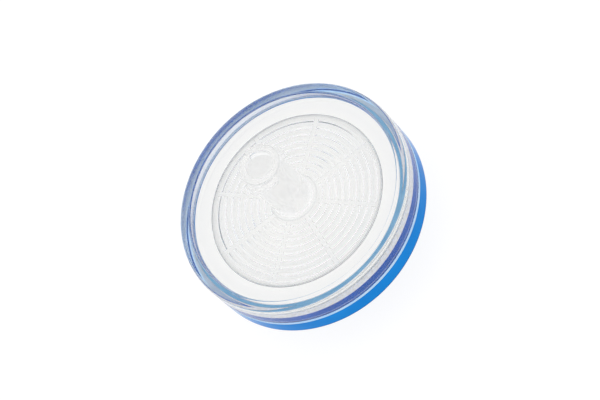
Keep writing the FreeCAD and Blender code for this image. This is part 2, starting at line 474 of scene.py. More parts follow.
@dataclass(frozen=True)
class Spokes:
    """The columns of a turned surface, which follow both sides of evenly spaced radial channels.

    Attributes:
        count: Number of channels.
        share: Number of columns that belong to one channel.
        width: Width of a channel.
        flank: Width that the flank of a channel takes up.
    """

    count: int = 8
    share: int = 32
    width: float = 0.7
    flank: float = 0.08

    def even(self) -> np.ndarray:
        """Give evenly spaced column angles."""
        return np.arange(self.count * self.share) * (2 * math.pi / (self.count * self.share))

    def angles(self, radius: np.ndarray, hold: np.ndarray) -> np.ndarray:
        """Work out the angle of every column in every row.

        A column beside a channel keeps a fixed distance d from its centre line, so its angle from the line
        is arcsin(d / radius), where the radius counts as no less than twice the channel's width. The other
        columns share out what is left, evenly.

        Args:
            radius: Radius of each row.
            hold: How firmly each row follows the channels, from 0 for even columns to 1.

        Returns:
            Angles with one entry for each row and column.
        """
        number = np.arange(self.count * self.share)
        place = (number + self.share // 2) % self.share - self.share // 2
        lane = np.abs(place)
        edges = self.width / 2 + self.flank * np.array((-0.5, 0.0, 0.5))
        lanes = len(edges)
        aside = np.interp(lane, np.arange(lanes + 1), np.array((0.0, *edges)))
        reach = np.maximum(radius, 2 * self.width)[:, None]
        beside = np.arcsin(aside / reach)
        rest = np.clip((lane - lanes) / (self.share / 2 - lanes), 0, 1)
        followed = np.sign(place) * (beside + (math.pi / self.count - beside) * rest)
        even = place * (2 * math.pi / (self.count * self.share))
        middle = self.even() - even
        return middle + even + (followed - even) * hold[:, None]

    def land(self, radius: np.ndarray, angle: np.ndarray) -> tuple[np.ndarray, np.ndarray, np.ndarray]:
        """Tell the ribs' land from the channels: 0 in a channel, 1 beside it, eased over the flank.

        The distance from the nearest channel's centre line is radius × sin(angle from that line).

        Args:
            radius: Radius of each point.
            angle: Angle of each point.

        Returns:
            The value, and its slopes along the radius and along the angle's direction.
        """
        sector = 2 * math.pi / self.count
        from_line = angle - sector * np.round(angle / sector)
        aside = radius * np.sin(from_line)
        value, slope = smooth((np.abs(aside) - self.width / 2) / self.flank + 0.5)
        pull = slope / self.flank * np.sign(aside)
        return value, pull * np.sin(from_line), pull * np.cos(from_line)


@dataclass(frozen=True)
class RingRibs:
    """Ring ribs on a flat face, crossed by radial channels.

    Attributes:
        outer: Outer radius of the outermost rib.
        inner: Radius that no rib goes inside.
        width: Width of a rib.
        pitch: Distance from one rib to the next.
        height: Signed height of the ribs above the face, along the flow axis.
        flank: Width that the flank of a rib takes up.
        flank_rows: Number of rows on a flank.
    """

    outer: float
    inner: float
    width: float
    pitch: float
    height: float
    flank: float = 0.5
    flank_rows: int = 5

    def centres(self) -> np.ndarray:
        """Give the radius of the middle of each rib, from the outside in."""
        count = 1 + math.floor((self.outer - self.width - self.inner) / self.pitch)
        return self.outer - self.width / 2 - self.pitch * np.arange(count)

    def row_radii(self) -> np.ndarray:
        """Give the radii where rows have to lie for the ribs to keep their form, from the outside in."""
        steps = np.linspace(-0.5, 0.5, self.flank_rows) * self.flank
        across = np.concatenate((self.width / 2 - steps[::-1], (0.0,), -self.width / 2 - steps[::-1]))
        across = np.sort(across)[::-1]
        return (self.centres()[:, None] + across).ravel()

    def rise(self, radius: np.ndarray, angle: np.ndarray, spokes: Spokes) -> tuple[np.ndarray, ...]:
        """Work out how far the ribs stand off their face.

        The rise is height × ring × land, where ring eases from 0 to 1 over each rib's flanks and land
        eases from 0 to 1 over the flanks of the channels.

        Args:
            radius: Radius of each point.
            angle: Angle of each point.
            spokes: The channels.

        Returns:
            The rise, and its slopes along the radius and along the angle's direction.
        """
        centres = self.centres()
        nearest = centres[np.abs(radius[..., None] - centres).argmin(axis=-1)]
        off = radius - nearest
        ring, ring_slope = smooth((self.width / 2 - np.abs(off)) / self.flank + 0.5)
        land, land_radial, land_around = spokes.land(radius, angle)
        radial = -ring_slope / self.flank * np.sign(off) * land + ring * land_radial
        return self.height * ring * land, self.height * radial, self.height * ring * land_around


def between_rows(points: np.ndarray) -> tuple[np.ndarray, np.ndarray, np.ndarray, np.ndarray]:
    """Tell where the faces between each row and the next lie.

    Args:
        points: Radius and level of each row.

    Returns:
        Radius of the first row, radius of the next, and radius and level of the middle between them.
    """
    radius, level = points.T
    ahead, beyond = np.roll(points, -1, axis=0).T
    return radius, ahead, (radius + ahead) / 2, (level + beyond) / 2


def lay_out(points: np.ndarray, normals: np.ndarray, angles: np.ndarray) -> Grid:
    """Turn an outline about the flow axis.

    Args:
        points: Radius and level of each row.
        normals: Outward normal of each row, along the radius and the level.
        angles: Angle of each row and column.

    Returns:
        The grid.
    """
    ones = np.ones_like(angles)
    normal = np.stack((normals[:, :1] * ones, 0 * ones, normals[:, 1:] * ones), axis=-1)
    return Grid(points[:, :1] * ones, angles, points[:, 1:] * ones, normal)


def raise_ribs(grid: Grid, rows: np.ndarray, ribs: RingRibs, spokes: Spokes) -> None:
    """Raise ribs out of the rows that lie on their flat face.

    The level gets the rise, and the normal becomes (−radial slope, −slope around, 1), signed as the face.

    Args:
        grid: The surface, changed in place.
        rows: Which rows lie on the face.
        ribs: The ribs.
        spokes: The channels that cross them.
    """
    radius, angle = grid.radius[rows], grid.angle[rows]
    facing = grid.normal[rows][..., 2]
    rise, radial, around = ribs.rise(radius, angle, spokes)
    grid.level[rows] += rise
    normal = np.stack((-radial, -around, np.ones_like(rise)), axis=-1) * np.sign(facing)[..., None]
    grid.normal[rows] = normal / np.linalg.norm(normal, axis=-1, keepdims=True)


def write_mesh(
    name: str, grid: Grid, materials: list[bpy.types.Material], finish: np.ndarray,
) -> bpy.types.Object:
    """Write a grid that is closed both ways as a mesh object, with its exact normals.

    Args:
        name: Name of the piece.
        grid: The surface.
        materials: Its materials.
        finish: Number of the material of the faces between each row and the next.

    Returns:
        The new object.
    """
    points, normals = grid.flatten()
    columns = grid.radius.shape[1]
    number = np.arange(len(points)).reshape(-1, columns)
    right = np.roll(number, -1, axis=1)
    faces = np.stack((number, right, np.roll(right, -1, axis=0), np.roll(number, -1, axis=0)), axis=-1)
    piece = add_piece(name, points, faces.reshape(-1, 4).tolist(), normals, materials)
    piece.data.polygons.foreach_set("material_index", np.repeat(finish, columns).astype(np.int32))
    return piece


def stand(name: str, data: bpy.types.Mesh | bpy.types.Camera) -> bpy.types.Object:
    """Put a new object into the scene, at the origin.

    Args:
        name: The object's name.
        data: Its mesh or camera.

    Returns:
        The object.
    """
    thing = bpy.data.objects.new(name, data)
    bpy.context.scene.collection.objects.link(thing)
    return thing


def add_piece(
    name: str, points: np.ndarray, faces: list[list[int]], normals: np.ndarray,
    materials: list[bpy.types.Material],
) -> bpy.types.Object:
    """Make a smooth-shaded mesh object at the origin.

    Args:
        name: Name of the piece.
        points: Its vertices in metres.
        faces: Vertex numbers of each face, counter-clockwise from outside.
        normals: Outward normal at each vertex.
        materials: Its materials.

    Returns:
        The new object.
    """
    mesh = bpy.data.meshes.new(name)
    mesh.from_pydata(points, [], faces)
    mesh.update()
    mesh.polygons.foreach_set("use_smooth", np.ones(len(faces), dtype=bool))
    mesh.normals_split_custom_set_from_vertices(normals)
    for material in materials:
        mesh.materials.append(material)
    return stand(name, mesh)


def place(piece: bpy.types.Object, node: str, slot: str) -> None:
    """Let a piece ride with the part and stand for its CAD node.

    Args:
        piece: The piece.
        node: The CAD node that it stands for.
        slot: Not used.
    """
    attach(piece, "root")
    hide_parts(node)


# ---- The three pieces ----


class Side(IntEnum):
    LOW = 0
    HIGH = 1


class Axis(IntEnum):
    """An axis of the frame that a size is read along."""

    X = 0
    Z = 2


@dataclass(frozen=True)
class Levels:
    """Shared levels and radii, in millimetres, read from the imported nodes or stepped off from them.

    Attributes:
        skirt_height: From the joint up to the top of the clear rim.
        rim_rise: How far the clear rim stands above the plate.
        roof_thickness: Thickness of the clear plate over the membrane's zone.
        support_height: Height of the supports under the membrane.
        floor_thickness: Thickness of the blue plate.
        tip_length: Length of the outlet tip.
        boss_drop: How far the boss reaches below the blue rim.
        zone_radius: Radius of the ribbed zone.
        edge_channel: Width of the free channel between the zone's edge and the outermost rib.
        well_radius: Radius of the smooth well in the middle, which has no ribs.
    """

    skirt_height: float = 4.65
    rim_rise: float = 0.95
    roof_thickness: float = 0.85
    support_height: float = 0.4
    floor_thickness: float = 1.8
    tip_length: float = 8.0
    boss_drop: float = 0.4
    zone_radius: float = 13.65
    edge_channel: float = 0.65
    well_radius: float = 3.7

    def edge(self, node: str, side: Side, axis: Axis) -> float:
        """Read one side of a node's box, in millimetres."""
        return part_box(node)[side][axis] / MM

    @property
    def mouth(self) -> float:
        """Top of the hub."""
        return self.edge("inlet_housing", Side.HIGH, Axis.Z)

    @property
    def joint(self) -> float:
        """Where the two rims meet."""
        return self.edge("inlet_housing", Side.LOW, Axis.Z)

    @property
    def housing_radius(self) -> float:
        """Outer radius of both rims."""
        return self.edge("outlet_housing", Side.HIGH, Axis.X)

    @property
    def tongue_top(self) -> float:
        """Top of the weld tongue."""
        return self.edge("outlet_housing", Side.HIGH, Axis.Z)

    @property
    def membrane_top(self) -> float:
        """Upper face of the membrane."""
        return self.edge("membrane", Side.HIGH, Axis.Z)

    @property
    def membrane_foot(self) -> float:
        """Lower face of the membrane."""
        return self.edge("membrane", Side.LOW, Axis.Z)

    @property
    def membrane_radius(self) -> float:
        """Radius of the membrane."""
        return self.edge("membrane", Side.HIGH, Axis.X)

    @property
    def rim_top(self) -> float:
        """Top of the inlet housing's rim."""
        return self.joint + self.skirt_height

    @property
    def plate_top(self) -> float:
        """Upper face of the inlet housing's plate."""
        return self.rim_top - self.rim_rise

    @property
    def roof(self) -> float:
        """Lower face of the inlet housing's plate."""
        return self.plate_top - self.roof_thickness

    @property
    def floor(self) -> float:
        """Upper face of the outlet housing's plate."""
        return self.membrane_foot - self.support_height

    @property
    def underside(self) -> float:
        """Lower face of the outlet housing's plate."""
        return self.floor - self.floor_thickness

    @property
    def rim_foot(self) -> float:
        """Lowest level of the outlet housing's rim."""
        return self.tip_length + self.boss_drop


@dataclass
class Housing:
    """What both housings share: a turned shell, with ribs on the face that looks to the membrane.

    Attributes:
        levels: Levels and radii that the three pieces share.
        spokes: Columns, which follow the eight channels across the ribs.
        passage_margin: Distance of the ribbed face's innermost row from the passage.
        well_rows: Radii of more rows in the well, where that face is plain.
        well_margin: How far inside the well the rows start to follow the channels.
        joint_round: Round of the outer edge at the joint.
        seam_round: Round of the edges at the groove's mouth, the tongue's foot and the zone.
    """

    levels: Levels
    spokes: Spokes = Spokes()
    passage_margin: float = 0.1
    well_rows: tuple[float, ...] = (2.2, 3.0, 3.4)
    well_margin: float = 0.2
    joint_round: float = 0.3
    seam_round: float = 0.04

    def ribs(self) -> RingRibs:
        """Lay out the ribs, as each housing does in its own way."""
        raise NotImplementedError

    def outline(self) -> list[Corner]:
        """List the corners of the section, as each housing does in its own way."""
        raise NotImplementedError

    def turn(self, face: float, outer: float) -> tuple[np.ndarray, np.ndarray, Grid, np.ndarray]:
        """Turn the outline about the flow axis, and raise the ribs out of their flat face.

        Args:
            face: Level of the ribs' face.
            outer: Radius that the ribs' rows lie inside.

        Returns:
            Radius and level of each row, its outward normal, the grid, and which rows carry the ribs.
        """
        points, normals = trace(self.outline())
        radius, level = points.T
        ribbed = (np.abs(normals[:, 1]) > SQUARE) & np.isclose(level, face)
        ribbed &= (radius > self.levels.well_radius - self.well_margin) & (radius < outer)
        grid = lay_out(points, normals, self.spokes.angles(radius, ribbed.astype(float)))
        raise_ribs(grid, ribbed, self.ribs(), self.spokes)
        return points, normals, grid, ribbed


class ClearFace(IntEnum):
    """Faces of the clear housing that differ in finish or in painted shade, numbered as its materials are.
    """

    MOULDED = 0
    FUSED = 1
    FLASH = 2
    RIBS = 3
    STEP = 4
    RIM_WALL = 5
    HUB = 6
    EDGE = 7
    OUTER_WALL = 8


class BlueFace(IntEnum):
    """Faces of the blue housing that differ in finish or in painted light and shade, numbered as materials
    are.
    """

    MOULDED = 0
    WELD_WALL = 1
    TONGUE = 2
    JOINT = 3
    LIP = 4
    FOOT = 5


@dataclass(frozen=True)
class LockThread:
    """Lugs of the Luer lock, raised out of the hub's wall.

    Attributes:
        radius: Radius over the lugs.
        lead: Climb of a lug in one full turn.
        turns: Length of a lug, in turns.
        starts: Number of lugs.
        root: Width of a lug at the hub.
        crest: Width of a lug at its crest.
        drop: Distance from the mouth down to the lugs' top.
        row: Distance between the rows on the hub's wall that carry the lugs.
        margin: How far below the lugs those rows start.
        fade: Angle over which a lug ends, in degrees.
        lid: Distance below the wall's top over which a lug fades out.
    """

    radius: float = 3.9
    lead: float = 5.0
    turns: float = 0.3
    starts: int = 2
    root: float = 1.2
    crest: float = 0.6
    drop: float = 0.15
    row: float = 0.07
    margin: float = 0.2
    fade: float = 7.0
    lid: float = 0.12

    @property
    def depth(self) -> float:
        """Distance from the mouth down to the lugs' foot."""
        return self.drop + self.root + self.lead * self.turns

    def cut(self, grid: Grid, rows: np.ndarray, hub: float, mouth: float, wall_top: float) -> None:
        """Raise the lugs out of the hub's wall.

        A lug's middle climbs by lead × turns from its start to its end. Its section along the axis is a
        trapezoid: height × the share of the way from root to crest, eased. It fades in and out over a few
        degrees at its two ends, and below the wall's top. The normal follows its slopes.

        Args:
            grid: The surface, changed in place.
            rows: Which rows lie on the hub's wall.
            hub: Radius of the hub.
            mouth: Level of the mouth.
            wall_top: Level where the wall ends and the hub's round starts.
        """
        angle, level = grid.angle[rows], grid.level[rows]
        top = mouth - self.drop - self.root / 2
        sweep = 2 * math.pi * self.turns
        around = np.mod(angle, 2 * math.pi / self.starts)
        middle = top - self.lead * self.turns * (1 - around / sweep)
        off = level - middle
        flank = (self.root - self.crest) / 2
        trapezoid, slope = smooth((self.root / 2 - np.abs(off)) / flank)
        fade = math.radians(self.fade)
        start, start_slope = smooth(around / fade)
        end, end_slope = smooth((sweep - around) / fade)
        lid, lid_slope = smooth((wall_top - level) / self.lid)
        height = self.radius - hub
        climb = self.lead / (2 * math.pi)
        by_level = -slope / flank * np.sign(off)
        ends = start * end
        ends_slope = (start_slope * end - start * end_slope) / fade
        rise = height * trapezoid * ends * lid
        level_slope = height * ends * (by_level * lid - trapezoid * lid_slope / self.lid)
        angle_slope = height * lid * (trapezoid * ends_slope - by_level * climb * ends)
        grid.radius[rows] += rise
        normal = np.stack((np.ones_like(rise), -angle_slope / grid.radius[rows], -level_slope), axis=-1)
        grid.normal[rows] = normal / np.linalg.norm(normal, axis=-1, keepdims=True)


@dataclass
class InletHousing(Housing):
    """Clear inlet housing: rim, plate with ribs beneath, and the hub with its lock thread.

    Attributes:
        skirt_inside: Inner radius of the skirt, which is the groove's outer wall.
        groove_inside: Radius of the groove's inner wall.
        weld_gap: Gap between the tongue's top and the groove's.
        weld_margin: Distance of the first and last row on the weld from the wall's ends.
        flash_foot: Level where the frosted part of the weld starts.
        joint_gap: Play between the two rims, so that no two faces lie in one place.
        rim_inside: Inner radius of the rim at the plate.
        rim_draft: How much wider the rim is at its top, for the mould to open.
        rim_root_round: Round where the rim's inner wall meets the plate.
        crown_round: Round of the crown's outer edge.
        crown_inner_round: Round of the crown's inner edge.
        hub_radius: Radius of the hub.
        hub_fillet: Fillet at the foot of the hub.
        hub_round: Round of the hub's top edge.
        hub_start: How far above the roof the hub's own finish starts in the passage.
        mouth_radius: Radius of the cone at the mouth.
        mouth_chamfer: Chamfer of the mouth.
        mouth_edge: Round of the chamfer's edges.
        cone_depth: Depth of the cone.
        cone_end: Radius of the cone at its end.
        passage: Radius of the passage below the cone.
        passage_round: Round of the passage's upper edge.
        rib_gap: Gap between the ribs and the membrane.
        rib_width: Width of a rib.
        rib_pitch: Distance from one rib to the next.
        step_round: Round of the upper edge of the step round the zone.
        step_sweep: Round of the step's lower edge.
        step_margin: Distance of the roof's last row from the step's round.
        thread: Lugs of the lock on the hub.
    """

    skirt_inside: float = 17.15
    groove_inside: float = 16.6
    weld_gap: float = 0.05
    weld_margin: float = 0.1
    flash_foot: float = 13.0
    joint_gap: float = 0.02
    rim_inside: float = 16.3
    rim_draft: float = 0.2
    rim_root_round: float = 0.12
    crown_round: float = 0.5
    crown_inner_round: float = 0.3
    hub_radius: float = 3.2
    hub_fillet: float = 0.7
    hub_round: float = 0.2
    hub_start: float = 0.1
    mouth_radius: float = 2.15
    mouth_chamfer: float = 0.15
    mouth_edge: float = 0.03
    cone_depth: float = 8.0
    cone_end: float = 1.915
    passage: float = 1.15
    passage_round: float = 0.1
    rib_gap: float = 0.08
    rib_width: float = 0.5
    rib_pitch: float = 1.08
    step_round: float = 0.05
    step_sweep: float = 0.1
    step_margin: float = 0.05
    thread: LockThread = LockThread()
    # Polished mould faces of the plate, the rim and the cone: glassy, and seen only by what they bend.
    finish: ClearAcrylic = ClearAcrylic()
    # Lower part of the weld, melted to one mass: no face shows, only the blue of the tongue.
    fused: FusedAcrylic = FusedAcrylic()
    # Upper part of the weld, where the melt set with air in it: a frosted white band above the blue.
    flash: WeldFlash = WeldFlash()
    # Ribs pressed into the soft membrane, taken to bend light less than a free face does: soft arcs, where
    # the full index of acrylic would glitter.
    ribbed: ClearAcrylic = ClearAcrylic(roughness=0.03, ior=1.25)
    # Step round the membrane's zone: its grey tint is painted shade, a thin dark ring where the step bends
    # light.
    step: ClearAcrylic = ClearAcrylic(colour="#868b8e", roughness=0.22)
    # Inner wall of the rim: a pale grey-blue tint of painted shade on what is seen through it.
    rim_wall: ClearAcrylic = ClearAcrylic(colour="#d3dde9", roughness=0.05)
    # Outer wall of the rim, spark-eroded in the mould for a good grip: a satin veil, through which the
    # bands of the weld run together on the far side.
    outer_wall: ClearAcrylic = ClearAcrylic(roughness=0.22)
    # Hub, drawn off a steel core and so less polished than the plate: a veil over what is behind it.
    # Its faint grey tint is painted shade.
    hub: ClearAcrylic = ClearAcrylic(colour="#fbfbfb", roughness=0.22)
    # Edge of the mouth and foot of the hub: thin grey rings of painted shade.
    edge: ClearAcrylic = ClearAcrylic(colour="#e6e8e9", roughness=0.22)

    def ribs(self) -> RingRibs:
        """Lay out the ribs that hang from the roof."""
        levels = self.levels
        height = levels.membrane_top + self.rib_gap - levels.roof
        outer = levels.zone_radius - levels.edge_channel
        return RingRibs(outer, levels.well_radius, self.rib_width, self.rib_pitch, height)

    def outline(self) -> list[Corner]:
        """List the corners of the section, counter-clockwise from the inner edge of the mouth down."""
        levels = self.levels
        mouth, cone_foot = levels.mouth, levels.mouth - self.cone_depth
        groove_top = levels.tongue_top + self.weld_gap
        joint = levels.joint + self.joint_gap
        weld_levels = np.array((groove_top - self.weld_margin, self.flash_foot, joint + self.weld_margin))
        span = levels.zone_radius - self.passage
        stations = np.concatenate((
            (self.passage + self.passage_margin, *self.well_rows), self.ribs().row_radii()[::-1],
            (levels.zone_radius - self.step_round - self.step_margin,),
        ))
        wall = mouth - levels.plate_top
        lowest = wall - self.thread.depth - self.thread.margin
        climbs = np.arange(lowest, wall - self.hub_round, self.thread.row)
        return [
            Corner(self.mouth_radius + self.mouth_chamfer, mouth, self.mouth_edge),
            Corner(self.mouth_radius, mouth - self.mouth_chamfer, self.mouth_edge),
            Corner(self.cone_end, cone_foot),
            Corner(self.passage, cone_foot, self.passage_round),
            Corner(self.passage, levels.roof, rows=(stations - self.passage) / span),
            Corner(levels.zone_radius, levels.roof, self.step_round),
            Corner(levels.zone_radius, levels.membrane_top, self.step_sweep),
            Corner(self.groove_inside, levels.membrane_top, self.seam_round),
            Corner(self.groove_inside, groove_top),
            Corner(self.skirt_inside, groove_top, rows=(groove_top - weld_levels) / (groove_top - joint)),
            Corner(self.skirt_inside, joint, self.seam_round),
            Corner(levels.housing_radius, joint, self.joint_round),
            Corner(levels.housing_radius, levels.rim_top, self.crown_round),
            Corner(self.rim_inside + self.rim_draft, levels.rim_top, self.crown_inner_round),
            Corner(self.rim_inside, levels.plate_top, self.rim_root_round),
            Corner(self.hub_radius, levels.plate_top, self.hub_fillet, climbs / wall),
            Corner(self.hub_radius, mouth, self.hub_round),
        ]

    def build(self) -> bpy.types.Object:
        """Build the housing, in place of its CAD node.

        Returns:
            The piece.
        """
        levels = self.levels
        outer = levels.zone_radius - self.step_round + TOUCH
        points, normals, grid, ribbed = self.turn(levels.roof, outer)
        wall = (normals[:, 0] > SQUARE) & np.isclose(points[:, 0], self.hub_radius)
        self.thread.cut(grid, wall, self.hub_radius, levels.mouth, levels.mouth - self.hub_round)
        materials = [
            self.finish.build("clear_acrylic_moulded"),
            self.fused.build("clear_acrylic_fused"),
            self.flash.build("clear_acrylic_weld_flash"),
            self.ribbed.build("clear_acrylic_ribbed"),
            # The step, rim wall, hub and edge materials below carry painted shade.
            self.step.build("clear_acrylic_step_painted_shade"),
            self.rim_wall.build("clear_acrylic_rim_wall_painted_shade"),
            self.hub.build("clear_acrylic_hub_painted_shade"),
            self.edge.build("clear_acrylic_edge_painted_shade"),
            self.outer_wall.build("clear_acrylic_satin_wall"),
        ]
        piece = write_mesh("clear_inlet_housing", grid, materials, self.faces(points, ribbed))
        place(piece, "inlet_housing", "clear_acrylic")
        return piece

    def faces(self, points: np.ndarray, ribbed: np.ndarray) -> np.ndarray:
        """Tell which finish the faces between each row and the next have.

        Args:
            points: Radius and level of each row.
            ribbed: Which rows lie on the ribbed face.

        Returns:
            The number of each row's ClearFace.
        """
        levels = self.levels
        radius, ahead, across, middle = between_rows(points)
        weld = np.isclose(radius, self.skirt_inside) & np.isclose(ahead, self.skirt_inside)
        # Faces of the step round the zone, which get the grey of painted shade.
        step = (np.abs(across - levels.zone_radius) < self.step_sweep) & (middle > levels.membrane_top)
        step &= middle < levels.roof
        # Inner wall of the rim, which gets the tint of painted shade.
        rim_wall = (across < self.rim_inside + self.rim_draft) & (across > self.rim_inside)
        rim_wall &= middle > levels.plate_top
        outer_wall = (across > levels.housing_radius - TOUCH) & (middle > levels.joint + self.joint_round)
        # Faces of the hub, which get the faint grey of painted shade.
        hub = np.maximum(radius, ahead) < self.hub_radius + self.hub_fillet
        hub &= middle > levels.roof + self.hub_start
        # Edges at the mouth and the hub's foot, which get grey rings of painted shade.
        mouth = (middle > levels.mouth - self.hub_round) & (radius > self.hub_radius - self.hub_round)
        foot = (across > self.hub_radius + self.hub_fillet / 2) & (middle > levels.plate_top)
        edge = hub & (mouth | foot)
        return np.select(
            [weld & (middle > self.flash_foot), weld, ribbed, step, rim_wall, edge, hub, outer_wall],
            [ClearFace.FLASH, ClearFace.FUSED, ClearFace.RIBS, ClearFace.STEP, ClearFace.RIM_WALL,
             ClearFace.EDGE, ClearFace.HUB, ClearFace.OUTER_WALL],
            ClearFace.MOULDED,
        )


@dataclass
class OutletHousing(Housing):
    """Blue outlet housing: Luer slip tip, boss, rim, weld tongue and the supports under the membrane.

    Attributes:
        passage: Radius of the passage.
        tip_radius: Radius of the tip at its end, before the chamfer.
        tip_chamfer: Chamfer of the tip.
        tip_edge: Round of the chamfer's edges.
        tip_root_round: Round where the tip meets the boss.
        luer_taper: Growth of the tip's diameter along its length.
        boss_radius: Radius of the boss.
        boss_round: Round of the boss's edge.
        boss_fillet: Fillet where the boss meets the plate.
        recess_round: Round where the plate meets the rim, in the recess.
        rim_width: Width of the rim's foot.
        rim_round: Round of the rim's outer lower edge.
        inner_rim_round: Round of the rim's inner lower edge.
        tongue_inside: Inner radius of the tongue.
        tongue_outside: Outer radius of the tongue.
        support_width: Width of a support.
        support_pitch: Distance from one support to the next.
        edge_rows: Distances of two rows from the zone's edge.
    """

    passage: float = 1.05
    tip_radius: float = 1.985
    tip_chamfer: float = 0.2
    tip_edge: float = 0.03
    tip_root_round: float = 0.1
    luer_taper: float = 0.06
    boss_radius: float = 3.5
    boss_round: float = 0.4
    boss_fillet: float = 0.8
    recess_round: float = 0.2
    rim_width: float = 2.2
    rim_round: float = 0.5
    inner_rim_round: float = 0.3
    tongue_inside: float = 16.65
    tongue_outside: float = 17.1
    support_width: float = 0.7
    support_pitch: float = 2.16
    edge_rows: tuple[float, float] = (0.1, 0.3)
    # Faces as the mould left them: smooth, in the azure of the tinted plastic.
    finish: BlueAcrylic = BlueAcrylic()
    # Outer wall of the tongue, wetted by the weld: no gloss of its own. Its deep royal blue, darker than
    # the body tint, is painted shade for the recess under the skirt.
    weld_wall: BlueAcrylic = BlueAcrylic("#0057b4", "#0a62c2", drift_size=3.0, sheen=0.0)
    # Top of the tongue under the melt: a paler steel blue copy of the tint, painted light for how it shows
    # through the clear rim.
    tongue: BlueAcrylic = BlueAcrylic("#62a0ca", "#76acd0", sheen=0.0)
    # Flat of the joint: pale blue, painted light for the light it gets from the clear rim above.
    joint_face: BlueAcrylic = BlueAcrylic("#b6ccde", "#cadae6", sheen=0.0)
    # Rounded lip at the open joint: a nearly white line of painted highlight, where the rounded edge
    # catches the sky.
    lip: BlueAcrylic = BlueAcrylic("#b8ddfc", "#cce7fc", drift_size=2.0, sheen=0.0)
    # Rounded foot of the rim, where the tint is seen edge on: a darker line of painted shade.
    foot: BlueAcrylic = BlueAcrylic("#0a60a2", "#0c66aa")

    def ribs(self) -> RingRibs:
        """Lay out the supports that stand on the plate."""
        levels = self.levels
        outer = levels.zone_radius - levels.edge_channel
        return RingRibs(
            outer, levels.well_radius, self.support_width, self.support_pitch, levels.support_height,
        )

    def outline(self) -> list[Corner]:
        """List the corners of the section, counter-clockwise from the end of the passage."""
        levels = self.levels
        span = levels.zone_radius - self.passage
        stations = np.concatenate((
            levels.zone_radius - np.array(self.edge_rows), self.ribs().row_radii(), self.well_rows[::-1],
            (self.passage + self.passage_margin,),
        ))
        shoulder_radius = self.tip_radius + self.luer_taper / 2 * levels.tip_length
        chamfer_radius = self.tip_radius + self.luer_taper / 2 * self.tip_chamfer
        rim_inside = levels.housing_radius - self.rim_width
        return [
            Corner(self.passage, 0.0),
            Corner(self.tip_radius - self.tip_chamfer, 0.0, self.tip_edge),
            Corner(chamfer_radius, self.tip_chamfer, self.tip_edge),
            Corner(shoulder_radius, levels.tip_length, self.tip_root_round),
            Corner(self.boss_radius, levels.tip_length, self.boss_round),
            Corner(self.boss_radius, levels.underside, self.boss_fillet),
            Corner(rim_inside, levels.underside, self.recess_round),
            Corner(rim_inside, levels.rim_foot, self.inner_rim_round),
            Corner(levels.housing_radius, levels.rim_foot, self.rim_round),
            Corner(levels.housing_radius, levels.joint, self.joint_round),
            Corner(self.tongue_outside, levels.joint, self.seam_round),
            Corner(self.tongue_outside, levels.tongue_top),
            Corner(self.tongue_inside, levels.tongue_top),
            Corner(self.tongue_inside, levels.membrane_foot, self.seam_round),
            Corner(levels.zone_radius, levels.membrane_foot, self.seam_round),
            Corner(levels.zone_radius, levels.floor, rows=(levels.zone_radius - stations) / span),
            Corner(self.passage, levels.floor),
        ]

    def build(self) -> bpy.types.Object:
        """Build the housing, in place of its CAD node.

        Returns:
            The piece.
        """
        levels = self.levels
        points, _, grid, _ = self.turn(levels.floor, levels.zone_radius - max(self.edge_rows) + TOUCH)
        materials = [
            self.finish.build("blue_acrylic_moulded"),
            # The weld wall and foot materials below carry painted shade, the tongue and joint face painted
            # light,
            # and the lip a painted highlight.
            self.weld_wall.build("blue_acrylic_weld_wall_painted_shade"),
            self.tongue.build("blue_acrylic_tongue_painted_light"),
            self.joint_face.build("blue_acrylic_joint_face_painted_light"),
            self.lip.build("blue_acrylic_lip_painted_highlight"),
            self.foot.build("blue_acrylic_foot_painted_shade"),
        ]
        piece = write_mesh("blue_outlet_housing", grid, materials, self.faces(points))
        place(piece, "outlet_housing", "blue_acrylic")
        return piece

    def faces(self, points: np.ndarray) -> np.ndarray:
        """Tell which finish the faces between each row and the next have.

        Args:
            points: Radius and level of each row.

        Returns:
            The number of each row's BlueFace.
        """
        levels = self.levels
        radius, ahead, across, middle = between_rows(points)
        # Outer wall of the tongue, which gets the royal blue of painted shade.
        wall = np.isclose(radius, self.tongue_outside) & np.isclose(ahead, self.tongue_outside)
        # Flat of the joint, which gets the pale blue of painted light.
        joint = (across > self.tongue_outside) & (middle > levels.joint - self.joint_round)
        # Rounded lip at the joint, which gets the nearly white painted highlight.
        lip = joint & (across > levels.housing_radius - self.joint_round)
        lip &= across < levels.housing_radius
        # Top of the tongue, which gets the paler blue of painted light.
        tongue = (across > self.tongue_inside - TOUCH) & (middle > levels.joint)
        # Rounded foot of the rim, which gets the darker blue of painted shade.
        foot = across > levels.housing_radius - self.rim_round
        foot &= middle < levels.rim_foot + self.rim_round
        return np.select(
            [wall, lip, joint, tongue, foot],
            [BlueFace.WELD_WALL, BlueFace.LIP, BlueFace.JOINT, BlueFace.TONGUE, BlueFace.FOOT],
            BlueFace.MOULDED,
        )


